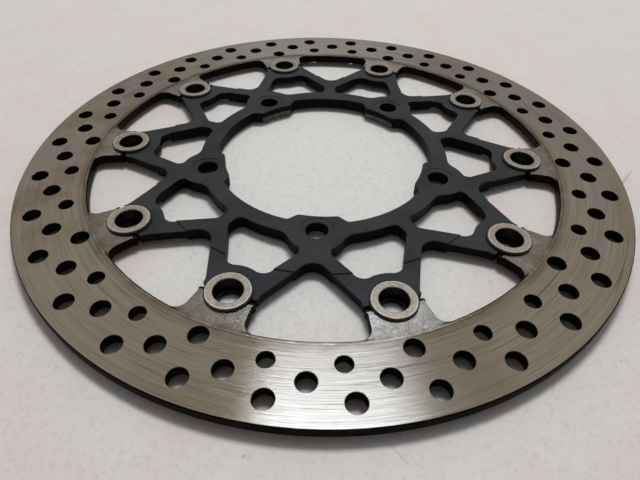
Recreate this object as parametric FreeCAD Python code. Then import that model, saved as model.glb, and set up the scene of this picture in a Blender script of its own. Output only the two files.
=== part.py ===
"""Floating front brake disc for a motorcycle: a drilled steel friction ring that floats on an
aluminium carrier, joined by ten hollow riveted bobbins, each with a wave washer and a flat washer.

Frame, in millimetres: the origin is on the axle line, in the plane of the wheel-side mounting face;
+Z runs along the axle, away from the wheel; bobbin 1 lies on +X and one bolt hole lies on -Y.
"""
import FreeCAD, Part
import math
import os

from FreeCAD import Vector

# ---- driving dimensions -------------------------------------------------------------------------
COUNT_BOBBINS = 10
COUNT_BOLTS = 5
PITCH = 360.0 / COUNT_BOBBINS          # angle from one bobbin to the next
BOBBIN_CIRCLE_R = 106.35
FIRST_BOLT = -90.0                     # angle of the bolt hole on -Y

# friction ring
RING_R = 155.0
RING_INNER_R = 121.8
RING_THICK = 5.0
RING_BOTTOM_Z = 1.1
RING_TOP_Z = RING_BOTTOM_Z + RING_THICK
RING_EDGE_CHAMFER = 0.5
SWEPT_INNER_R = 123.3                  # the pads sweep from here outwards
RELIEF = 0.15                          # lugs and inner margin lie this far below the swept face
LUG_TIP = 0.4                          # lug's end, outwards from the bobbin's centre
TIP_BEVEL_R = 109.2                    # a turned bevel runs inwards from here over the lugs' ends
TIP_BEVEL_DEEP = 1.3                   # its depth at the lug's end
LUG_WAIST = 3.4                        # where the small ears at its end have run out
LUG_ROOT = 9.0                         # where the lug's side ends
LUG_HALF_TIP = 13.0
LUG_HALF_WAIST = 12.1
LUG_HALF_ROOT = 12.9
LUG_TIP_FILLET = 1.2
LUG_ROOT_FILLET = 5.0                  # where the lug's side runs into the ring's inner edge

# drilled holes: radius of the row, angles from the bobbin ahead, hole radius
HOLE_ROWS = (
    (145.9, (0.8, 13.0, 25.25), 4.05),
    (138.15, (6.2, 18.45, 30.7), 4.05),
    (131.15, (11.9, 24.1), 3.5),
    (128.2, (-0.2,), 4.05),
)
HOLE_CHAMFER = 0.15

# carrier
HUB_TOP_Z = 6.5                        # the mounting face is at z = 0
HUB_R = 66.4
BORE_R = 58.0
STEP_R = 89.0                          # outside this the arms are turned down to the lugs' level
LAND_R = 71.5                          # the mounting land; outside it the underside is relieved
LAND_RELIEF = 0.4
BOLT_CIRCLE_R = 62.65
BOLT_HOLE_R = 5.25
BOLT_BOSS_R = 13.7
BOLT_CHAMFER = 0.4
SPOT_FACE_R = 8.0
SPOT_FACE_DEPTH = 0.2
PAD_R = 53.4                           # the five register pads locate on the wheel's hub
PAD_HALF_INNER = 9.4
PAD_HALF_OUTER = 14.4                  # the pad's flanks spread to this, PAD_FLANK inside the bore
PAD_FLANK = 1.6
REGISTER_DEPTH = 0.2
REGISTER_HIGH = 3.0
PAD_FILLET = 2.5
ARM_TIP = -0.5                         # arm's end, outwards from the bobbin's centre
ARM_HALF = 12.4
ARM_SIDE = -3.2                        # where the arm's parallel sides end
ARM_TIP_FILLET = 1.2
ARM_SIDE_FILLET = 4.0
APEX_R = 80.1                          # where the V of two neighbouring arms would meet
APEX_FILLET = 6.4
EYE_R = 15.3                           # arm material round the bobbin
WINDOW_TOP = -16.0                     # where a window's width is given, from the bobbin's centre
WINDOW_HALF_TOP = 10.3                 # half its width there
WINDOW_SLOPE = 0.488                   # half width gained for each mm inwards
BOLT_NECK_HALF = 6.9                   # neck between two windows over a bolt
PLAIN_NECK_HALF = 3.4                  # neck between two windows away from a bolt
WINDOW_FILLET = 5.0                    # corners of a window: under the bobbin,
BOSS_FILLET = 8.0                      # from the bolt's boss to the hub,
BOSS_NECK_FILLET = 1.5                 # from the bolt's boss to the neck beside it,
NECK_TOP_FILLET = 2.0                  # at the far end of that neck,
FAR_FILLET = 3.4                       # and on the side away from the bolt
EDGE_BREAK = 0.3

# bobbins and washers
SLOT_R = 8.0
BARREL_R = 7.9
BOBBIN_BORE_R = 6.1
BOBBIN_FOOT_BORE_R = 4.7               # below a ledge at the underside of the arms
BORE_CHAMFER = 0.4
FLANGE_R = 10.0
FLANGE_THICK = 1.48
FLANGE_CHAMFER = 0.7
SEAT_GAP = 0.02                        # between flat faces of pieces on different bodies
WAVE_INNER_R = 8.1
WAVE_R = 9.6
WAVE_STRIP = 0.45
WAVE_HIGH = 1.05
WAVES = 3
WAVE_STEPS = 24                        # points of the spline for each wave
WASHER_INNER_R = 8.0
WASHER_R = 9.6
WASHER_THICK = 0.7
WASHER_CHAMFER = 0.1
SWAGE_R = 8.9
SWAGE_HIGH = 0.55
SWAGE_CHAMFER = 0.2

ARM_TOP_Z = RING_TOP_Z - RELIEF
ARM_BOTTOM_Z = RING_BOTTOM_Z + RELIEF
WAVE_TOP_Z = ARM_BOTTOM_Z - SEAT_GAP
WAVE_BOTTOM_Z = WAVE_TOP_Z - WAVE_HIGH
WASHER_TOP_Z = WAVE_BOTTOM_Z - SEAT_GAP
WASHER_BOTTOM_Z = WASHER_TOP_Z - WASHER_THICK
BOBBIN_BOTTOM_Z = WASHER_BOTTOM_Z - SWAGE_HIGH
FLANGE_BOTTOM_Z = ARM_TOP_Z + SEAT_GAP
FLANGE_TOP_Z = FLANGE_BOTTOM_Z + FLANGE_THICK

Z_AXIS = Vector(0, 0, 1)
CLEAR = 5.0                            # how far a cutting tool runs past what it cuts
OVERLAP = 2.0                          # how far a piece reaches into what it is joined to
NEAR = 0.01                            # two places closer than this are the same place


# ---- helpers ------------------------------------------------------------------------------------
def polar(radius, angle):
    a = math.radians(angle)
    return Vector(radius * math.cos(a), radius * math.sin(a), 0)


def cylinder(radius, z_low, z_high, centre=Vector(0, 0, 0)):
    return Part.makeCylinder(radius, z_high - z_low, Vector(centre.x, centre.y, z_low), Z_AXIS)


def prism(points, z_low, z_high):
    """Upright prism on a closed outline of (x, y) points."""
    corners = [Vector(x, y, z_low) for x, y in points]
    face = Part.Face(Part.makePolygon(corners + corners[:1]))
    return face.extrude(Vector(0, 0, z_high - z_low))


def revolved(profile):
    """Solid turned about Z from a closed outline of (radius, z) points."""
    corners = [Vector(r, 0, z) for r, z in profile]
    face = Part.Face(Part.makePolygon(corners + corners[:1]))
    return face.revolve(Vector(0, 0, 0), Z_AXIS, 360)


def turned(shape, angle):
    """Copy of a shape, turned about Z."""
    copy = shape.copy()
    copy.rotate(Vector(0, 0, 0), Z_AXIS, angle)
    return copy


def moved(shape, offset):
    copy = shape.copy()
    copy.translate(offset)
    return copy


def ring_of(shape, count, first=0.0):
    """Copies of a shape, evenly spaced about Z."""
    return [turned(shape, first + n * 360.0 / count) for n in range(count)]


def upright_edges(shape, wanted):
    """Upright straight edges of a shape whose (x, y) passes the test."""
    found = []
    for edge in shape.Edges:
        a, b = edge.Vertexes[0].Point, edge.Vertexes[-1].Point
        if math.hypot(a.x - b.x, a.y - b.y) < NEAR and abs(a.z - b.z) > NEAR and wanted(a.x, a.y):
            found.append(edge)
    return found


def rounded(shape, radius, wanted):
    """Shape with a fillet on each of those upright edges."""
    return shape.makeFillet(radius, upright_edges(shape, wanted))


def rim_broken(shape, size, z, reach=math.inf):
    """Plate with a chamfer along its flat edges at one height, out to a reach from the axis."""
    rim = []
    for edge in shape.Edges:
        box = edge.BoundBox
        flat = abs(box.ZMin - z) < NEAR and abs(box.ZMax - z) < NEAR
        if flat and all(math.hypot(v.X, v.Y) < reach for v in edge.Vertexes):
            rim.append(edge)
    return shape.makeChamfer(size, rim)


def past_bobbin(x, y):
    """How far out a point lies from the nearest bobbin's centre, along that bobbin's radius."""
    angle = (math.degrees(math.atan2(y, x)) + PITCH / 2) % PITCH - PITCH / 2
    return math.hypot(x, y) * math.cos(math.radians(angle)) - BOBBIN_CIRCLE_R


# ---- friction ring ------------------------------------------------------------------------------
def lug():
    """One lug on the +X side, from its tip to inside the ring."""
    side = [(BOBBIN_CIRCLE_R + LUG_TIP, LUG_HALF_TIP), (BOBBIN_CIRCLE_R + LUG_WAIST, LUG_HALF_WAIST),
            (BOBBIN_CIRCLE_R + LUG_ROOT, LUG_HALF_ROOT), (RING_INNER_R + CLEAR, LUG_HALF_ROOT)]
    other_side = [(x, -y) for x, y in reversed(side)]
    return prism(side + other_side, RING_BOTTOM_Z, RING_TOP_Z)


def drill(radius):
    """Tool for one drilled hole with a small chamfer at both faces."""
    wide = radius + HOLE_CHAMFER
    low, high = RING_BOTTOM_Z, RING_TOP_Z
    return revolved([(0, low - 1), (wide, low - 1), (wide, low), (radius, low + HOLE_CHAMFER),
                     (radius, high - HOLE_CHAMFER), (wide, high), (wide, high + 1), (0, high + 1)])


def tip_bevels():
    """Tools for the turned bevels on the lugs' ends, at both faces."""
    end, clear = BOBBIN_CIRCLE_R, LUG_TIP + CLEAR
    slope = TIP_BEVEL_DEEP / (TIP_BEVEL_R - BOBBIN_CIRCLE_R - LUG_TIP)
    tools = []
    for face, outwards in ((RING_TOP_Z - RELIEF, 1), (RING_BOTTOM_Z + RELIEF, -1)):
        deep = face - outwards * slope * (TIP_BEVEL_R - end + clear)
        tools.append(revolved([(TIP_BEVEL_R, face), (end - clear, deep),
                               (end - clear, face + outwards), (TIP_BEVEL_R, face + outwards)]))
    return tools


def friction_ring():
    blank = cylinder(RING_R, RING_BOTTOM_Z, RING_TOP_Z)
    for z in (RING_BOTTOM_Z, RING_TOP_Z):
        blank = rim_broken(blank, RING_EDGE_CHAMFER, z)
    blank = blank.cut(cylinder(RING_INNER_R, -CLEAR, RING_TOP_Z + CLEAR))
    blank = blank.fuse(ring_of(lug(), COUNT_BOBBINS)).removeSplitter()

    def at_root(x, y):
        return abs(math.hypot(x, y) - RING_INNER_R) < NEAR

    def at_tip(x, y):
        return abs(past_bobbin(x, y) - LUG_TIP) < NEAR

    blank = rounded(blank, LUG_ROOT_FILLET, at_root)
    blank = rounded(blank, LUG_TIP_FILLET, at_tip)
    for z in (RING_BOTTOM_Z, RING_TOP_Z):
        blank = rim_broken(blank, RELIEF + EDGE_BREAK, z, SWEPT_INNER_R)
    slot = cylinder(SLOT_R, 0, RING_TOP_Z + CLEAR, polar(BOBBIN_CIRCLE_R, 0))
    reliefs = [cylinder(SWEPT_INNER_R, RING_TOP_Z - RELIEF, RING_TOP_Z + 1),
               cylinder(SWEPT_INNER_R, RING_BOTTOM_Z - 1, RING_BOTTOM_Z + RELIEF)]
    drills = []
    for row_r, angles, hole_r in HOLE_ROWS:
        for angle in angles:
            hole = moved(drill(hole_r), polar(row_r, angle))
            drills += ring_of(hole, COUNT_BOBBINS)
    return blank.cut(ring_of(slot, COUNT_BOBBINS) + reliefs + tip_bevels() + drills)


# ---- carrier ------------------------------------------------------------------------------------
def arm_pair():
    """Solid outline of the two arms that hold one bobbin, on the +X side, down to the hub."""
    tip, side = BOBBIN_CIRCLE_R + ARM_TIP, BOBBIN_CIRCLE_R + ARM_SIDE
    apex = polar(APEX_R, PITCH / 2)
    base = polar(BORE_R + OVERLAP, PITCH / 2)
    outline = [(tip, ARM_HALF), (side, ARM_HALF), (apex.x, apex.y), (base.x, base.y),
               (base.x, -base.y), (apex.x, -apex.y), (side, -ARM_HALF), (tip, -ARM_HALF)]
    return prism(outline, 0, HUB_TOP_Z)


def neck_block(half, angle):
    """Block along a radius, half wide each side: it keeps a window's end off its neighbour's."""
    outline = [(BORE_R, -half), (STEP_R, -half), (STEP_R, half), (BORE_R, half)]
    return turned(prism(outline, -CLEAR, HUB_TOP_Z + CLEAR), angle)


def window():
    """Tool for the window under the bobbin on +X, whose bolt lies at +18 degrees."""
    low, high = -CLEAR, HUB_TOP_Z + CLEAR
    top, foot = BOBBIN_CIRCLE_R - EYE_R + CLEAR, BORE_R - CLEAR

    def half(x):
        return WINDOW_HALF_TOP + WINDOW_SLOPE * (BOBBIN_CIRCLE_R + WINDOW_TOP - x)

    outline = [(top, half(top)), (foot, half(foot)), (foot, -half(foot)), (top, -half(top))]
    bolt = polar(BOLT_CIRCLE_R, PITCH / 2)
    tool = prism(outline, low, high).cut([
        cylinder(EYE_R, low, high, polar(BOBBIN_CIRCLE_R, 0)),
        cylinder(HUB_R, low, high),
        cylinder(BOLT_BOSS_R, low, high, bolt),
        neck_block(BOLT_NECK_HALF, PITCH / 2),
        neck_block(PLAIN_NECK_HALF, -PITCH / 2),
    ])
    tool = max(tool.Solids, key=lambda s: s.Volume)
    for edge_test, radius in window_corners():
        tool = rounded(tool, radius, edge_test)
    return tool


def window_corners():
    """(test, radius) for each kind of corner of a window."""
    bolt = polar(BOLT_CIRCLE_R, PITCH / 2)

    def near_bobbin(x, y):
        return math.hypot(x - BOBBIN_CIRCLE_R, y) < EYE_R + NEAR

    def on_boss(x, y):
        return abs(math.hypot(x - bolt.x, y - bolt.y) - BOLT_BOSS_R) < NEAR

    def on_hub(x, y):
        return math.hypot(x, y) < HUB_R + NEAR

    def boss_and_hub(x, y):
        return on_boss(x, y) and on_hub(x, y)

    def boss_and_neck(x, y):
        return on_boss(x, y) and not on_hub(x, y)

    def neck_top(x, y):
        return y > 0 and not (near_bobbin(x, y) or on_boss(x, y) or on_hub(x, y))

    def far_side(x, y):
        return y < 0 and not near_bobbin(x, y)

    return ((near_bobbin, WINDOW_FILLET), (boss_and_hub, BOSS_FILLET), (far_side, FAR_FILLET),
            (boss_and_neck, BOSS_NECK_FILLET), (neck_top, NECK_TOP_FILLET))


def register_pad():
    """One pad on the +X side, whose inner face locates on the wheel's hub."""
    inner, outer = PAD_R - OVERLAP, BORE_R + OVERLAP
    flank = BORE_R - PAD_FLANK
    face_x = math.sqrt(PAD_R ** 2 - PAD_HALF_INNER ** 2)
    outline = [(inner, -PAD_HALF_INNER), (face_x, -PAD_HALF_INNER), (flank, -PAD_HALF_OUTER),
               (outer, -PAD_HALF_OUTER), (outer, PAD_HALF_OUTER), (flank, PAD_HALF_OUTER),
               (face_x, PAD_HALF_INNER), (inner, PAD_HALF_INNER)]
    return prism(outline, 0, HUB_TOP_Z).cut(cylinder(PAD_R, -CLEAR, HUB_TOP_Z + CLEAR))


def bolt_hole():
    """Tool for one bolt hole on the +X side, with its chamfers and its spot face."""
    wide = BOLT_HOLE_R + BOLT_CHAMFER
    seat = HUB_TOP_Z - SPOT_FACE_DEPTH
    tool = revolved([(0, -1), (wide + 1, -1), (BOLT_HOLE_R, BOLT_CHAMFER),
                     (BOLT_HOLE_R, seat - BOLT_CHAMFER), (wide, seat), (SPOT_FACE_R, seat),
                     (SPOT_FACE_R, HUB_TOP_Z + 1), (0, HUB_TOP_Z + 1)])
    return moved(tool, polar(BOLT_CIRCLE_R, 0))


def carrier_outline():
    """The carrier as a flat plate, with every window, slot and corner, before its levels are cut."""
    low, high = -CLEAR, HUB_TOP_Z + CLEAR
    plate = cylinder(HUB_R, 0, HUB_TOP_Z).fuse(ring_of(arm_pair(), COUNT_BOBBINS))
    one = window()
    other = one.mirror(Vector(0, 0, 0), Vector(0, 1, 0))
    windows = ring_of(one, COUNT_BOLTS, FIRST_BOLT - PITCH / 2)
    windows += ring_of(other, COUNT_BOLTS, FIRST_BOLT + PITCH / 2)
    plate = plate.removeSplitter().cut([cylinder(BORE_R, low, high)] + windows)
    plate = plate.fuse(ring_of(register_pad(), COUNT_BOLTS, FIRST_BOLT)).removeSplitter()

    def at_apex(x, y):
        return abs(math.hypot(x, y) - APEX_R) < NEAR

    def at_tip(x, y):
        return abs(past_bobbin(x, y) - ARM_TIP) < NEAR

    def at_arm_side(x, y):
        return abs(past_bobbin(x, y) - ARM_SIDE) < NEAR

    def at_pad(x, y):
        return math.hypot(x, y) < BORE_R + NEAR

    plate = rounded(plate, APEX_FILLET, at_apex)
    plate = rounded(plate, ARM_TIP_FILLET, at_tip)
    plate = rounded(plate, ARM_SIDE_FILLET, at_arm_side)
    plate = rounded(plate, PAD_FILLET, at_pad)
    slot = cylinder(SLOT_R, low, high, polar(BOBBIN_CIRCLE_R, 0))
    mouth = prism([(BOBBIN_CIRCLE_R, -SLOT_R), (BOBBIN_CIRCLE_R + CLEAR, -SLOT_R),
                   (BOBBIN_CIRCLE_R + CLEAR, SLOT_R), (BOBBIN_CIRCLE_R, SLOT_R)], low, high)
    return plate.cut(ring_of(slot, COUNT_BOBBINS) + ring_of(mouth, COUNT_BOBBINS))


def annulus(inner, outer, z_low, z_high):
    return cylinder(outer, z_low, z_high).cut(cylinder(inner, z_low, z_high))


def level(plate, z_low, z_high):
    """Plate with the outline of another, between two heights, with its edges broken."""
    underside = [f for f in plate.Faces if f.BoundBox.ZMax < NEAR][0]
    slab = moved(underside, Vector(0, 0, z_low)).extrude(Vector(0, 0, z_high - z_low))
    for z in (z_low, z_high):
        slab = rim_broken(slab, EDGE_BREAK, z)
    return slab


def carrier():
    outline = carrier_outline()
    core = cylinder(STEP_R, -CLEAR, HUB_TOP_Z + CLEAR)
    arms = level(outline, ARM_BOTTOM_Z, ARM_TOP_Z).cut(core)
    hub = level(outline, 0, HUB_TOP_Z).common(core)
    cuts = [
        annulus(LAND_R, STEP_R + 1, -1, LAND_RELIEF),
        cylinder(PAD_R + REGISTER_DEPTH, -1, REGISTER_HIGH),
    ]
    return hub.fuse(arms).cut(cuts + ring_of(bolt_hole(), COUNT_BOLTS, FIRST_BOLT))


# ---- bobbins and washers ------------------------------------------------------------------------
def bobbin():
    """Hollow flanged rivet, its lower end swaged out over the flat washer."""
    bore, foot_bore, top, low = BOBBIN_BORE_R, BOBBIN_FOOT_BORE_R, FLANGE_TOP_Z, BOBBIN_BOTTOM_Z
    b, c, s = BORE_CHAMFER, FLANGE_CHAMFER, SWAGE_CHAMFER
    return revolved([
        (foot_bore, ARM_BOTTOM_Z), (foot_bore, low + b), (foot_bore + b, low),
        (SWAGE_R - s, low), (SWAGE_R, low + s), (SWAGE_R, WASHER_BOTTOM_Z),
        (BARREL_R, WASHER_BOTTOM_Z), (BARREL_R, FLANGE_BOTTOM_Z), (FLANGE_R, FLANGE_BOTTOM_Z),
        (FLANGE_R, top - c), (FLANGE_R - c, top), (bore + b, top), (bore, top - b),
        (bore, ARM_BOTTOM_Z),
    ])


def wavy_loop(radius, height):
    """Closed spline round Z at a radius, that rises and falls as the wave washer does."""
    steps = WAVE_STEPS * WAVES
    swing = (WAVE_HIGH - WAVE_STRIP) / 2
    middle = (WAVE_TOP_Z + WAVE_BOTTOM_Z) / 2
    points = []
    for n in range(steps):
        angle = 2 * math.pi * n / steps
        z = middle + height + swing * math.cos(WAVES * angle)
        points.append(Vector(radius * math.cos(angle), radius * math.sin(angle), z))
    loop = Part.BSplineCurve()
    loop.interpolate(Points=points, PeriodicFlag=True)
    return loop.toShape()


def wave_washer():
    """Spring washer of flat strip, bent into waves."""
    half = WAVE_STRIP / 2
    loops = [wavy_loop(WAVE_INNER_R, half), wavy_loop(WAVE_R, half),
             wavy_loop(WAVE_R, -half), wavy_loop(WAVE_INNER_R, -half)]
    faces = [Part.makeRuledSurface(a, b) for a, b in zip(loops, loops[1:] + loops[:1])]
    shell = Part.makeShell(faces)
    shell.sewShape()
    solid = Part.makeSolid(shell)
    if solid.Volume < 0:
        solid.reverse()
    return solid


def flat_washer():
    low, high, c = WASHER_BOTTOM_Z, WASHER_TOP_Z, WASHER_CHAMFER
    return revolved([(WASHER_INNER_R, low), (WASHER_R - c, low), (WASHER_R, low + c),
                     (WASHER_R, high - c), (WASHER_R - c, high), (WASHER_INNER_R, high)])


# ---- parts --------------------------------------------------------------------------------------
def save(name, shape):
    solids = shape.Solids
    if len(solids) != 1 or not solids[0].isValid():
        raise ValueError(f"{name}: {len(solids)} solids, valid {[s.isValid() for s in solids]}")
    solids[0].exportStep(f"parts/{name}.step")
    print(name, round(solids[0].Volume, 1), "mm3")


def main():
    os.makedirs("parts", exist_ok=True)
    save("friction_ring", friction_ring())
    save("carrier", carrier())
    pieces = {"bobbin": bobbin(), "wave_washer": wave_washer(), "flat_washer": flat_washer()}
    for name, shape in pieces.items():
        for n in range(COUNT_BOBBINS):
            # each piece is turned with its arm, so that all ten seats look the same
            placed = turned(moved(shape, polar(BOBBIN_CIRCLE_R, 0)), n * PITCH)
            save(f"{name}_{n + 1:02d}", placed)


main()
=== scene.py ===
"""Looks for the floating brake disc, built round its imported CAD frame. Metres, in the frame's axes.

Materials work in millimetres, on each piece's own coordinates, which are the disc's: Z is its axle.
"""
import math

import bpy
from mathutils import Matrix, Vector


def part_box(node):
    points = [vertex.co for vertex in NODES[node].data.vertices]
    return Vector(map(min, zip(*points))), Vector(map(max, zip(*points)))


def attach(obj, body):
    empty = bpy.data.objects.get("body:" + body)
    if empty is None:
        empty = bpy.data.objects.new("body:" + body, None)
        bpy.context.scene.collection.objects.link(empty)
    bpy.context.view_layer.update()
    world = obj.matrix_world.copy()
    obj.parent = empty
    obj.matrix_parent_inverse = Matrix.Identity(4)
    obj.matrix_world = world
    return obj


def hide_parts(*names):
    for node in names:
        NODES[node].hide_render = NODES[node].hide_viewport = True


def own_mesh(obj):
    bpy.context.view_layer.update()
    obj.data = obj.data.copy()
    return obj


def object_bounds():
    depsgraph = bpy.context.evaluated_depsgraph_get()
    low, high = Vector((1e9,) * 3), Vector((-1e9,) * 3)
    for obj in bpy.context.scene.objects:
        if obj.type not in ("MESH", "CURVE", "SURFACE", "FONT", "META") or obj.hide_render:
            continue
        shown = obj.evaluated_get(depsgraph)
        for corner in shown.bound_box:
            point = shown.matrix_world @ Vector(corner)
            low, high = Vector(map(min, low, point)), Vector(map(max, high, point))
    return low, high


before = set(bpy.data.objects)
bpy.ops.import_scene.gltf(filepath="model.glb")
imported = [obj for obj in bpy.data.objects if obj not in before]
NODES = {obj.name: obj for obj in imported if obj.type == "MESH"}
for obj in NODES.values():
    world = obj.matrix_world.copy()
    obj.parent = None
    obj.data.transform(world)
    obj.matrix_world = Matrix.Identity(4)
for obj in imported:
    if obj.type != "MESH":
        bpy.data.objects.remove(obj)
cad_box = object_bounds()

MM = 0.001
COUNT_BOBBINS = 10
BOBBINS = [f"{n + 1:02d}" for n in range(COUNT_BOBBINS)]


def middle_of(node):
    low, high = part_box(node)
    return (low + high) / 2


# ---- camera -------------------------------------------------------------------------------------
CAMERA_PLACE = Vector((8.5, -221.4, 156.0)) * MM
CAMERA_TARGET = Vector((1.8, -68.9, 6.1)) * MM     # where the middle of the view meets the disc
CAMERA_ROLL = 1.14                                 # degrees, right side up
CAMERA_LENS = 27.15                                # mm, like the width of the sensor
CAMERA_SENSOR = 36.0
CAMERA_NEAR = 10 * MM


def add_camera():
    data = bpy.data.cameras.new("camera")
    data.lens = CAMERA_LENS
    data.sensor_width = CAMERA_SENSOR
    data.clip_start = CAMERA_NEAR
    camera = bpy.data.objects.new("camera", data)
    bpy.context.scene.collection.objects.link(camera)
    look = (CAMERA_TARGET - CAMERA_PLACE).to_track_quat("-Z", "Y").to_matrix().to_4x4()
    roll = Matrix.Rotation(math.radians(CAMERA_ROLL), 4, "Z")
    camera.matrix_world = Matrix.Translation(CAMERA_PLACE) @ look @ roll
    bpy.context.scene.camera = camera


# ---- node graph helper --------------------------------------------------------------------------
class Graph:
    """Short names for building a material's nodes. Values may be numbers, colours or sockets."""

    def __init__(self, name):
        self.material = bpy.data.materials.new(name)
        self.material.use_nodes = True
        self.tree = self.material.node_tree
        self.tree.nodes.clear()

    def node(self, kind, **settings):
        node = self.tree.nodes.new(kind)
        for key, value in settings.items():
            setattr(node, key, value)
        return node

    def set(self, socket, value):
        if isinstance(value, bpy.types.NodeSocket):
            self.tree.links.new(value, socket)
        elif value is not None:
            if socket.type == "RGBA" and len(value) == 3:
                value = (*value, 1.0)
            socket.default_value = value

    def math(self, operation, a, b=None):
        node = self.node("ShaderNodeMath", operation=operation)
        self.set(node.inputs[0], a)
        self.set(node.inputs[1], b)
        return node.outputs[0]

    def mul(self, a, b):
        return self.math("MULTIPLY", a, b)

    def add(self, a, b):
        return self.math("ADD", a, b)

    def minus(self, a, b):
        return self.math("SUBTRACT", a, b)

    def larger(self, a, b):
        return self.math("MAXIMUM", a, b)

    def absolute(self, a):
        return self.math("ABSOLUTE", a)

    def span(self, value, low, high, to_low=0.0, to_high=1.0):
        """Value mapped from low..high to another range, clamped, with soft ends."""
        node = self.node("ShaderNodeMapRange", clamp=True, interpolation_type="SMOOTHSTEP")
        for socket, given in zip(node.inputs, (value, low, high, to_low, to_high)):
            self.set(socket, given)
        return node.outputs[0]

    def fade(self, value, full, gone):
        """1 up to one value, falling to 0 at another."""
        return self.span(value, full, gone, 1.0, 0.0)

    def band(self, value, centre, half, soft):
        """1 within half of a centre, falling to 0 over a soft width each side."""
        return self.fade(self.absolute(self.minus(value, centre)), half, half + soft)

    def mix(self, share, a, b):
        """Colour between a and b. Sockets 6, 7 and 2 are the mix node's colour ones."""
        node = self.node("ShaderNodeMix", data_type="RGBA", blend_type="MIX")
        node.clamp_factor = True
        self.set(node.inputs[0], share)
        self.set(node.inputs[6], a)
        self.set(node.inputs[7], b)
        return node.outputs[2]

    def noise(self, vector, scale, detail, rough, offset):
        """Soft noise round 0.5. A different offset gives a different pattern."""
        node = self.node("ShaderNodeTexNoise", noise_dimensions="4D")
        self.set(node.inputs["Vector"], vector)
        self.set(node.inputs["W"], offset)
        self.set(node.inputs["Scale"], scale)
        self.set(node.inputs["Detail"], detail)
        self.set(node.inputs["Roughness"], rough)
        return node.outputs["Fac"]

    def spots(self, vector, scale, core, edge):
        """Small round spots scattered in space, one to a cell: 1 out to the core, 0 past the edge."""
        node = self.node("ShaderNodeTexVoronoi", feature="F1")
        self.set(node.inputs["Vector"], vector)
        self.set(node.inputs["Scale"], scale)
        return self.fade(node.outputs["Distance"], core, edge)

    def vector(self, x, y, z):
        node = self.node("ShaderNodeCombineXYZ")
        for socket, value in zip(node.inputs, (x, y, z)):
            self.set(socket, value)
        return node.outputs[0]

    def split(self, vector):
        node = self.node("ShaderNodeSeparateXYZ")
        self.set(node.inputs[0], vector)
        return node.outputs

    def place(self):
        """The surface point in mm, in the object's own frame."""
        coords = self.node("ShaderNodeTexCoord").outputs["Object"]
        scale = self.node("ShaderNodeVectorMath", operation="SCALE")
        self.set(scale.inputs[0], coords)
        scale.inputs["Scale"].default_value = 1 / MM
        return scale.outputs[0]

    def upness(self):
        """Size of the normal's Z: 1 on flat faces, 0.71 on chamfers, 0 on upright walls."""
        normal = self.split(self.node("ShaderNodeTexCoord").outputs["Normal"])
        return self.absolute(normal[2])

    def radius(self, x, y, centre=(0.0, 0.0)):
        """Distance from an upright axis, in mm."""
        dx = self.minus(x, centre[0])
        dy = self.minus(y, centre[1])
        return self.math("SQRT", self.add(self.mul(dx, dx), self.mul(dy, dy)))

    def turn(self, x, y):
        """Angle round the Z axis, in turns."""
        return self.math("DIVIDE", self.math("ARCTAN2", y, x), 2 * math.pi)

    def bump(self, height, depth, strength):
        """Normal of a surface roughened by a height, of which 1 stands for this many mm."""
        node = self.node("ShaderNodeBump")
        self.set(node.inputs["Strength"], strength)
        self.set(node.inputs["Distance"], depth * MM)
        self.set(node.inputs["Height"], height)
        return node.outputs[0]

    def finish(self, **inputs):
        shader = self.node("ShaderNodeBsdfPrincipled")
        for name, value in inputs.items():
            self.set(shader.inputs[name.replace("_", " ")], value)
        output = self.node("ShaderNodeOutputMaterial")
        self.tree.links.new(shader.outputs[0], output.inputs[0])
        return self.material


# ---- sizes that the materials follow, in mm -----------------------------------------------------
RING_R = 155.0
RIM_CHAMFER_R = RING_R - 0.5                       # the rim's chamfer starts here
RING_INNER_R = 121.8
SWEPT_INNER_R = 123.3
LUG_STAIN_R = 115.0                                # the lugs get browner from here outwards
EDGE_SHADE_THIN_SHARE = 0.16                             # in pitches from a lug's middle, the painted edge shade is thin to here
EDGE_SHADE_FULL_SHARE = 0.21                             # and full past here
STAIN_FROM_X = -95.0                               # one side of the ring gets browner from here
STAIN_FULL_X = -130.0                              # to here
STEP_R = 89.0
STEP_LOW = 5.9                                     # the step's wall starts above this height
REGISTER_R = 53.6
REGISTER_HIGH = 3.0
FLANGE_R = 10.0
FLANGE_EDGE = 0.6                                  # how far in the flange's chamfer is painted dark as shade
BOBBIN_BORE_R = 6.1
CLEAN_FLOOR_R = 90.0                               # the floor is cleanest inside this radius,
CLEAN_FULL_X = 55.0                                # and this near the middle from side to side,
CLEAN_GONE_X = 85.0                                # and is plain floor past here

# ---- how far up a face looks, from 0 for a wall to 1 for flat ------------------------------------
WALL_FULL = 0.25                                   # all wall up to here,
WALL_GONE = 0.6                                    # and none from here
SLOPE_FULL = 0.93                                  # the same for any face that isn't flat
SLOPE_GONE = 0.96
CHAMFER = 0.707                                    # a chamfer at 45 degrees


# ---- friction ring ------------------------------------------------------------------------------
STEEL_DARK = (0.345, 0.296, 0.228)
STEEL_LIGHT = (0.395, 0.342, 0.266)
STEEL_BRIGHT = (0.485, 0.426, 0.343)
STEEL_TAN = (0.33, 0.258, 0.18)
STEEL_RUST = (0.30, 0.215, 0.135)
SCRATCH_COLOUR = (0.19, 0.155, 0.115)
GROOVE_COLOUR = (0.13, 0.105, 0.08)
SWEPT_EDGE_STAIN = (0.19, 0.135, 0.085)
# painted shade for the step where the pads stop
SWEPT_STEP_SHADE = (0.05, 0.04, 0.03)
# painted shade for the ring's inner edge
INNER_EDGE_SHADE = (0.018, 0.015, 0.012)
LUG_DARK = (0.26, 0.232, 0.19)
LUG_LIGHT = (0.41, 0.372, 0.315)
LUG_PALE = (0.50, 0.47, 0.42)
LUG_BROWN = (0.25, 0.195, 0.14)
LUG_STAIN = (0.25, 0.175, 0.11)
# painted shade for the ring's walls, edges and rim chamfer
RING_SHADE_DARK = (0.004, 0.004, 0.0035)
RING_SHADE_LIGHT = (0.020, 0.017, 0.014)


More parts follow.
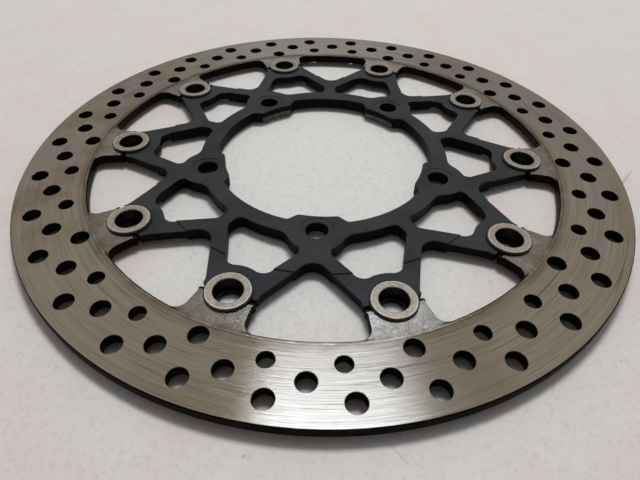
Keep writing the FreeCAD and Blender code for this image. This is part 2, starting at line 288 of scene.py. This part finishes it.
def grinding_direction(g, lug):
    """Along circles on the swept faces, and along the rolled sheet's grain, X, on the lugs."""
    circles = g.node("ShaderNodeTangent", direction_type="RADIAL", axis="Z").outputs[0]
    grain = g.node("ShaderNodeVectorTransform", vector_type="VECTOR",
                   convert_from="OBJECT", convert_to="WORLD")
    grain.inputs[0].default_value = (1.0, 0.0, 0.0)
    return g.mix(lug, circles, grain.outputs[0])


def ground_steel():
    """Friction ring: circular grinding on the swept faces, duller lugs, and walls and edges painted dark
    as shade.
    """
    g = Graph("ground_steel")
    point = g.place()
    x, y = g.split(point)[:2]
    radius = g.radius(x, y)
    turn = g.turn(x, y)
    angle = g.mul(turn, 2 * math.pi)
    round_x = g.math("COSINE", angle)
    round_y = g.math("SINE", angle)

    def streak(per_mm, round_scale, detail, offset):
        """Noise along circles: close together across the radius, long round it."""
        spot = g.vector(g.mul(radius, per_mm), g.mul(round_x, round_scale), g.mul(round_y, round_scale))
        return g.noise(spot, scale=1.0, detail=detail, rough=0.6, offset=offset)

    fine = streak(per_mm=2.1, round_scale=2.0, detail=4.0, offset=0.0)
    coarse = streak(per_mm=0.45, round_scale=1.5, detail=3.0, offset=7.0)
    scratch = g.span(streak(per_mm=1.9, round_scale=5.0, detail=2.0, offset=13.0), 0.56, 0.64)
    groove = g.span(streak(per_mm=0.9, round_scale=2.0, detail=2.0, offset=19.0), 0.64, 0.67)
    cloud = g.noise(point, scale=0.022, detail=3.0, rough=0.5, offset=3.0)
    rusty = g.noise(point, scale=0.06, detail=4.0, rough=0.6, offset=14.0)

    steel = g.mix(g.span(coarse, 0.3, 0.7), STEEL_DARK, STEEL_LIGHT)
    steel = g.mix(g.mul(g.span(fine, 0.42, 0.62), 0.7), steel, STEEL_BRIGHT)
    steel = g.mix(g.mul(g.span(cloud, 0.5, 0.66), 0.5), steel, STEEL_TAN)
    rust = g.mul(g.span(x, STAIN_FROM_X, STAIN_FULL_X), g.span(rusty, 0.45, 0.62))
    steel = g.mix(g.mul(rust, 0.6), steel, STEEL_RUST)
    steel = g.mix(g.mul(scratch, 0.5), steel, SCRATCH_COLOUR)
    steel = g.mix(g.mul(groove, 0.6), steel, GROOVE_COLOUR)

    # where the pads stop, a brown stain, and a thin dark line painted as shade at the step
    around = g.vector(g.mul(round_x, 5.0), g.mul(round_y, 5.0), 0.0)
    patchy = g.noise(around, scale=1.0, detail=3.0, rough=0.6, offset=21.0)
    stain = g.band(radius, SWEPT_INNER_R + 0.6, 0.9, 2.2)
    steel = g.mix(g.mul(stain, g.span(patchy, 0.3, 0.7, 0.1, 0.6)), steel, SWEPT_EDGE_STAIN)
    step_shade = g.band(radius, SWEPT_INNER_R + 0.2, 0.15, 0.2)
    steel = g.mix(g.mul(step_shade, g.span(patchy, 0.3, 0.6, 0.2, 0.5)), steel, SWEPT_STEP_SHADE)

    # the lugs, and the margin inside the swept face
    lug = g.fade(radius, SWEPT_INNER_R - 0.3, SWEPT_INNER_R)
    grain = g.noise(point, scale=0.9, detail=4.0, rough=0.7, offset=5.0)
    smear = g.noise(point, scale=0.12, detail=3.0, rough=0.6, offset=9.0)
    plain = g.mix(g.span(grain, 0.35, 0.65), LUG_DARK, LUG_LIGHT)
    plain = g.mix(g.mul(g.span(smear, 0.5, 0.35), 0.35), plain, LUG_PALE)
    plain = g.mix(g.mul(g.span(smear, 0.5, 0.68), 0.5), plain, LUG_BROWN)
    near_ring = g.span(radius, LUG_STAIN_R, SWEPT_INNER_R, 0.0, 0.7)
    plain = g.mix(g.mul(near_ring, g.span(smear, 0.35, 0.6)), plain, LUG_STAIN)
    colour = g.mix(lug, steel, plain)

    # a dark line painted as shade along the ring's inner edge, thinner where a lug joins it
    edge_shade = g.mul(g.span(radius, RING_INNER_R - 0.6, RING_INNER_R - 0.1),
                 g.fade(radius, RING_INNER_R + 0.3, RING_INNER_R + 0.9))
    pitch = g.math("FRACT", g.add(g.mul(turn, COUNT_BOBBINS), 0.5))
    off_lug = g.absolute(g.minus(pitch, 0.5))
    edge_shade = g.mul(edge_shade, g.span(off_lug, EDGE_SHADE_THIN_SHARE, EDGE_SHADE_FULL_SHARE, 0.2, 1.0))
    colour = g.mix(g.mul(edge_shade, g.span(patchy, 0.3, 0.6, 0.7, 0.95)), colour, INNER_EDGE_SHADE)

    # walls, the edges and bevels inside the swept face, and the chamfer of the outer rim, all painted
    # dark as shade
    up = g.upness()
    sloped = g.fade(up, SLOPE_FULL, SLOPE_GONE)
    inner_edges = g.mul(sloped, lug)
    rim = g.mul(sloped, g.span(radius, RIM_CHAMFER_R - 0.05, RIM_CHAMFER_R + 0.05))
    wall = g.larger(g.fade(up, WALL_FULL, WALL_GONE), g.larger(inner_edges, rim))
    # painted shade: these faces are darkened to near black
    painted_wall_shade = g.mix(g.span(grain, 0.35, 0.65), RING_SHADE_DARK, RING_SHADE_LIGHT)
    colour = g.mix(wall, colour, painted_wall_shade)

    roughness = g.add(g.span(fine, 0.3, 0.7, 0.20, 0.245), g.mul(wall, 0.25))
    height = g.add(g.add(fine, g.mul(scratch, -0.4)), g.mul(groove, -1.0))
    height = g.add(height, g.mul(g.mul(grain, lug), 1.5))
    # the quarter turn spreads the glare across the grinding marks
    return g.finish(
        Base_Color=colour, Metallic=1.0, Roughness=roughness, Anisotropic=1.0,
        Anisotropic_Rotation=0.25, Tangent=grinding_direction(g, lug),
        Normal=g.bump(height, depth=0.03, strength=0.7))


# ---- carrier ------------------------------------------------------------------------------------
ANODISED_DARK = (0.006, 0.0072, 0.0070)
ANODISED_LIGHT = (0.018, 0.0205, 0.0202)
ANODISED_GRAIN = (0.032, 0.035, 0.037)
BARE_METAL = (0.25, 0.245, 0.235)
# rubbed anodising and a painted highlight, for the chamfered edges
EDGE_WEAR_AND_HIGHLIGHT = (0.085, 0.088, 0.088)
# painted shade for the carrier's walls
CARRIER_SHADE_DARK = (0.005, 0.006, 0.006)
CARRIER_SHADE_LIGHT = (0.018, 0.020, 0.020)
REGISTER_DARK = (0.05, 0.048, 0.044)
REGISTER_LIGHT = (0.20, 0.19, 0.175)


def dark_anodised():
    """Carrier: dark blue-grey anodising with scuffs and nicks, and a bare machined register."""
    g = Graph("dark_anodised")
    point = g.place()
    x, y, z = g.split(point)
    radius = g.radius(x, y)
    up = g.upness()
    cloud = g.noise(point, scale=0.05, detail=3.0, rough=0.55, offset=2.0)
    grain = g.noise(point, scale=1.1, detail=4.0, rough=0.7, offset=4.0)
    worn = g.noise(point, scale=0.09, detail=3.0, rough=0.6, offset=31.0)
    colour = g.mix(g.span(cloud, 0.38, 0.62), ANODISED_DARK, ANODISED_LIGHT)
    colour = g.mix(g.mul(g.span(grain, 0.45, 0.65), 0.5), colour, ANODISED_GRAIN)
    nick = g.spots(point, scale=0.16, core=0.02, edge=0.045)
    rubbed = g.mul(g.span(grain, 0.55, 0.7), g.span(worn, 0.62, 0.72))
    colour = g.mix(g.mul(g.larger(nick, rubbed), 0.6), colour, BARE_METAL)
    # chamfered edges lighter: rubbed anodising with a painted highlight
    edge = g.mul(g.band(up, CHAMFER, 0.08, 0.1), g.span(cloud, 0.4, 0.6, 0.15, 0.6))
    colour = g.mix(edge, colour, EDGE_WEAR_AND_HIGHLIGHT)

    # walls are painted dark as shade, all but the step where the arms are turned down
    step = g.mul(g.band(radius, STEP_R, 0.05, 0.1), g.span(z, STEP_LOW - 0.05, STEP_LOW + 0.05))
    wall = g.mul(g.fade(up, WALL_FULL, WALL_GONE), g.minus(1.0, step))
    dark = g.mix(g.span(grain, 0.4, 0.7), CARRIER_SHADE_DARK, CARRIER_SHADE_LIGHT)
    colour = g.mix(wall, colour, dark)
    in_register = g.fade(radius, REGISTER_R + 0.1, REGISTER_R + 0.3)
    bare = g.mul(g.fade(z, REGISTER_HIGH - 0.05, REGISTER_HIGH + 0.05), g.mul(wall, in_register))
    machined = g.mix(g.span(grain, 0.4, 0.6), REGISTER_DARK, REGISTER_LIGHT)
    colour = g.mix(bare, colour, machined)

    roughness = g.add(g.span(grain, 0.3, 0.7, 0.38, 0.54), g.mul(wall, 0.15))
    height = g.add(grain, g.mul(nick, -1.5))
    return g.finish(
        Base_Color=colour, Metallic=wall, Roughness=roughness, Specular_IOR_Level=0.39,
        Normal=g.bump(height, depth=0.05, strength=0.8))


# ---- bobbins and washers ------------------------------------------------------------------------
PLATING_DARK = (0.38, 0.318, 0.23)
PLATING_LIGHT = (0.69, 0.592, 0.45)
TURNED_MARK = (0.27, 0.235, 0.19)
PLATING_STAIN = (0.20, 0.155, 0.11)
# a polished band with a painted highlight on the flange's outer edge
RIM_POLISH_AND_HIGHLIGHT = (0.82, 0.76, 0.66)
# painted shade for the bobbin's walls, flange chamfer and bore
BOBBIN_SHADE_DARK = (0.006, 0.006, 0.005)
BOBBIN_SHADE_LIGHT = (0.03, 0.027, 0.022)
BOBBIN_WALL_FULL = 0.2
BOBBIN_WALL_GONE = 0.5
SPRING_DARK = (0.36, 0.35, 0.34)
SPRING_LIGHT = (0.52, 0.51, 0.49)
WASHER_DARK = (0.48, 0.47, 0.45)
WASHER_LIGHT = (0.64, 0.63, 0.60)


def plated_bobbin(centre):
    """Bobbin: pale nickel plating, fine speckle, circular turning, a polished rim with a painted
    highlight, and walls, rim chamfer and bore painted dark as shade.
    """
    g = Graph("plated_bobbin")
    point = g.place()
    x, y = g.split(point)[:2]
    radius = g.radius(x, y, (centre.x / MM, centre.y / MM))
    up = g.upness()
    grain = g.noise(point, scale=1.8, detail=4.0, rough=0.75, offset=6.0)
    blotch = g.noise(point, scale=0.35, detail=3.0, rough=0.6, offset=12.0)
    across = g.vector(g.mul(radius, 2.2), 0.0, 0.0)
    rings = g.noise(across, scale=1.0, detail=2.0, rough=0.5, offset=centre.x / MM)
    colour = g.mix(g.span(grain, 0.38, 0.62), PLATING_DARK, PLATING_LIGHT)
    colour = g.mix(g.mul(g.span(rings, 0.4, 0.6), 0.35), colour, TURNED_MARK)
    colour = g.mix(g.mul(g.span(blotch, 0.52, 0.72), 0.55), colour, PLATING_STAIN)

    chamfer_r = FLANGE_R - FLANGE_EDGE
    # a polished band inside the rim, carrying a painted highlight
    polish_and_highlight = g.mul(g.band(radius, chamfer_r - 0.1, 0.3, 0.3), g.span(blotch, 0.38, 0.6, 0.25, 1.0))
    colour = g.mix(polish_and_highlight, colour, RIM_POLISH_AND_HIGHLIGHT)
    # painted shade: the flange's outer chamfer, the walls and the bore are darkened
    rim = g.mul(g.band(up, CHAMFER, 0.1, 0.12), g.span(radius, chamfer_r, chamfer_r + 0.1))
    wall = g.fade(up, BOBBIN_WALL_FULL, BOBBIN_WALL_GONE)
    bore = g.fade(radius, BOBBIN_BORE_R, BOBBIN_BORE_R + 0.3)
    shade = g.larger(g.larger(wall, g.mul(rim, 0.85)), g.mul(bore, 0.98))
    dark = g.mix(g.span(grain, 0.4, 0.6), BOBBIN_SHADE_DARK, BOBBIN_SHADE_LIGHT)
    colour = g.mix(shade, colour, dark)

    roughness = g.add(g.span(grain, 0.3, 0.7, 0.34, 0.46), g.mul(polish_and_highlight, -0.08))
    height = g.add(g.mul(grain, 0.8), g.mul(rings, 0.6))
    return g.finish(
        Base_Color=colour, Metallic=1.0, Roughness=roughness,
        Normal=g.bump(height, depth=0.04, strength=0.7))


def washer_metal(name, dark, light):
    """Washers: bright flat steel with a fine uneven grain."""
    g = Graph(name)
    grain = g.noise(g.place(), scale=1.4, detail=4.0, rough=0.7, offset=8.0)
    colour = g.mix(g.span(grain, 0.35, 0.65), dark, light)
    roughness = g.span(grain, 0.3, 0.7, 0.3, 0.45)
    return g.finish(
        Base_Color=colour, Metallic=1.0, Roughness=roughness,
        Normal=g.bump(grain, depth=0.02, strength=0.5))


# ---- dressing the pieces ------------------------------------------------------------------------
def dress(node, material):
    slots = NODES[node].data.materials
    slots.clear()
    slots.append(material)


def add_spring_washer(k, material):
    """Wave washer: a copy of the CAD's one with its own mesh, hung on the bobbin set's body in place of
    it.
    """
    node = f"wave_washer_{k}"
    mesh = NODES[node].data.copy()
    mesh.materials.clear()
    mesh.materials.append(material)
    washer = bpy.data.objects.new(f"spring_washer_{k}", mesh)
    bpy.context.scene.collection.objects.link(washer)
    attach(washer, f"bobbin_set_{k}")
    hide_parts(node)
    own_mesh(washer)


def dress_all():
    dress("friction_ring", ground_steel())
    dress("carrier", dark_anodised())
    spring = washer_metal("spring_steel", SPRING_DARK, SPRING_LIGHT)
    flat = washer_metal("washer_steel", WASHER_DARK, WASHER_LIGHT)
    for k in BOBBINS:
        dress(f"bobbin_{k}", plated_bobbin(middle_of(f"bobbin_{k}")))
        dress(f"flat_washer_{k}", flat)
        add_spring_washer(k, spring)


# ---- floor --------------------------------------------------------------------------------------
FLOOR_HALF = 25.0                                  # metres
FLOOR_PINK = (0.775, 0.695, 0.66)
FLOOR_CREAM = (0.76, 0.735, 0.705)
FLOOR_CLEAN = (0.79, 0.785, 0.76)
FLOOR_GREY = (0.58, 0.545, 0.52)
SPECK_COLOUR = (0.25, 0.23, 0.21)
HAIRLINE_COLOUR = (0.30, 0.28, 0.27)
HAIRLINES = ((0.9, 27.0), (2.3, 41.0))             # slant in radians, and offset of the noise


def pale_floor():
    """Floor: pale, faintly mottled, with small specks and a few hairline scratches."""
    g = Graph("pale_floor")
    point = g.place()
    x, y = g.split(point)[:2]
    cloud = g.noise(point, scale=0.03, detail=4.0, rough=0.6, offset=1.0)
    mottle = g.noise(point, scale=0.55, detail=5.0, rough=0.75, offset=5.0)
    dusty = g.noise(point, scale=0.03, detail=2.0, rough=0.5, offset=9.0)
    colour = g.mix(g.span(cloud, 0.4, 0.6), FLOOR_PINK, FLOOR_CREAM)
    clean = g.mul(g.fade(g.absolute(x), CLEAN_FULL_X, CLEAN_GONE_X),
                  g.fade(g.radius(x, y), CLEAN_FLOOR_R, RING_R))
    colour = g.mix(clean, colour, FLOOR_CLEAN)
    colour = g.mix(g.mul(g.span(mottle, 0.47, 0.68), 0.55), colour, FLOOR_GREY)
    spots = g.spots(point, scale=0.09, core=0.03, edge=0.06)
    speck = g.mul(spots, g.span(dusty, 0.45, 0.55))
    colour = g.mix(g.mul(speck, 0.7), colour, SPECK_COLOUR)
    for slant, offset in HAIRLINES:
        along = g.add(g.mul(x, math.cos(slant)), g.mul(y, math.sin(slant)))
        across = g.add(g.mul(x, -math.sin(slant)), g.mul(y, math.cos(slant)))
        stretched = g.vector(g.mul(along, 0.016), g.mul(across, 0.55), 0.0)
        streak = g.noise(stretched, scale=1.0, detail=2.0, rough=0.4, offset=offset)
        some = g.span(g.noise(point, scale=0.012, detail=2.0, rough=0.5, offset=offset), 0.52, 0.58)
        colour = g.mix(g.mul(g.span(streak, 0.70, 0.73), g.mul(some, 0.5)), colour, HAIRLINE_COLOUR)
    return g.finish(Base_Color=colour, Roughness=0.55, Normal=g.bump(mottle, depth=0.05, strength=0.3))


def add_floor():
    level = cad_box[0][2]
    mesh = bpy.data.meshes.new("floor")
    corners = [(-FLOOR_HALF, -FLOOR_HALF, level), (FLOOR_HALF, -FLOOR_HALF, level),
               (FLOOR_HALF, FLOOR_HALF, level), (-FLOOR_HALF, FLOOR_HALF, level)]
    mesh.from_pydata(corners, [], [(0, 1, 2, 3)])
    floor = bpy.data.objects.new("floor", mesh)
    bpy.context.scene.collection.objects.link(floor)
    mesh.materials.append(pale_floor())


# ---- lights -------------------------------------------------------------------------------------
LIGHT_DISTANCE = 2.4                               # metres, as are the sizes
WINDOW_TOWARDS = (0.037, 0.165, 0.985)
WINDOW_SIZE = (1.02, 0.67)
WINDOW_RADIANCE = 7.6
WINDOW_COLOUR = (0.90, 1.07, 1.40)
KEY_TOWARDS = (0.03, 0.41, 0.91)
KEY_SIZE = (0.84, 0.50)
KEY_RADIANCE = 26.5
KEY_COLOUR = (1.0, 1.0, 1.0)
ROOM_FRONT = (0.36, 0.10)                          # radiance on the camera's side, low and high up
ROOM_BACK = (0.32, 0.58)                           # and behind the disc
ROOM_TURN = (-0.2, 0.45)                           # Y of a direction, where front becomes back
ROOM_FRONT_RISE = (0.2, 0.6)                       # Z of a direction, from low to high up, in front
ROOM_BACK_RISE = (0.0, 1.0)                        # and behind
ROOM_COLOUR = (1.0, 0.985, 0.97, 1.0)


def add_room():
    """Soft light from all round, dim on the camera's side and brighter behind the disc."""
    world = bpy.data.worlds.new("room")
    bpy.context.scene.world = world
    world.use_nodes = True
    tree = world.node_tree
    split = tree.nodes.new("ShaderNodeSeparateXYZ")
    tree.links.new(tree.nodes.new("ShaderNodeTexCoord").outputs["Generated"], split.inputs[0])

    def ramp(axis, kind, spans, values):
        node = tree.nodes.new("ShaderNodeMapRange")
        node.interpolation_type = kind
        tree.links.new(split.outputs[axis], node.inputs[0])
        for socket, value in zip(node.inputs[1:5], (*spans, *values)):
            socket.default_value = value
        return node.outputs[0]

    # a mix of plain numbers: socket 0 says where front becomes back, 2 is the front and 3 the back
    strength = tree.nodes.new("ShaderNodeMix")
    tree.links.new(ramp(1, "SMOOTHSTEP", ROOM_TURN, (0.0, 1.0)), strength.inputs[0])
    tree.links.new(ramp(2, "SMOOTHSTEP", ROOM_FRONT_RISE, ROOM_FRONT), strength.inputs[2])
    tree.links.new(ramp(2, "LINEAR", ROOM_BACK_RISE, ROOM_BACK), strength.inputs[3])
    background = tree.nodes["Background"]
    background.inputs["Color"].default_value = ROOM_COLOUR
    tree.links.new(strength.outputs[0], background.inputs["Strength"])


def add_area_light(name, towards, size, radiance, colour):
    """Rectangular light in a direction from the disc's centre, turned to face it.

    Its power is worked out from the radiance that its face should have.
    """
    width, height = size
    data = bpy.data.lights.new(name, "AREA")
    data.shape = "RECTANGLE"
    data.size = width
    data.size_y = height
    data.energy = radiance * math.pi * width * height
    data.color = colour
    light = bpy.data.objects.new(name, data)
    bpy.context.scene.collection.objects.link(light)
    place = Vector(towards).normalized() * LIGHT_DISTANCE
    facing = (-place).to_track_quat("-Z", "Y").to_matrix().to_4x4()
    light.matrix_world = Matrix.Translation(place) @ facing
    return light


def add_lights():
    # the window gives the metal its glare, and the lower key lamp gives the shadows
    window = add_area_light("window", WINDOW_TOWARDS, WINDOW_SIZE, WINDOW_RADIANCE, WINDOW_COLOUR)
    window.visible_diffuse = False
    key = add_area_light("key", KEY_TOWARDS, KEY_SIZE, KEY_RADIANCE, KEY_COLOUR)
    key.visible_glossy = False
    add_room()


add_camera()
dress_all()
add_floor()
add_lights()
bpy.context.scene.view_settings.view_transform = "Standard"
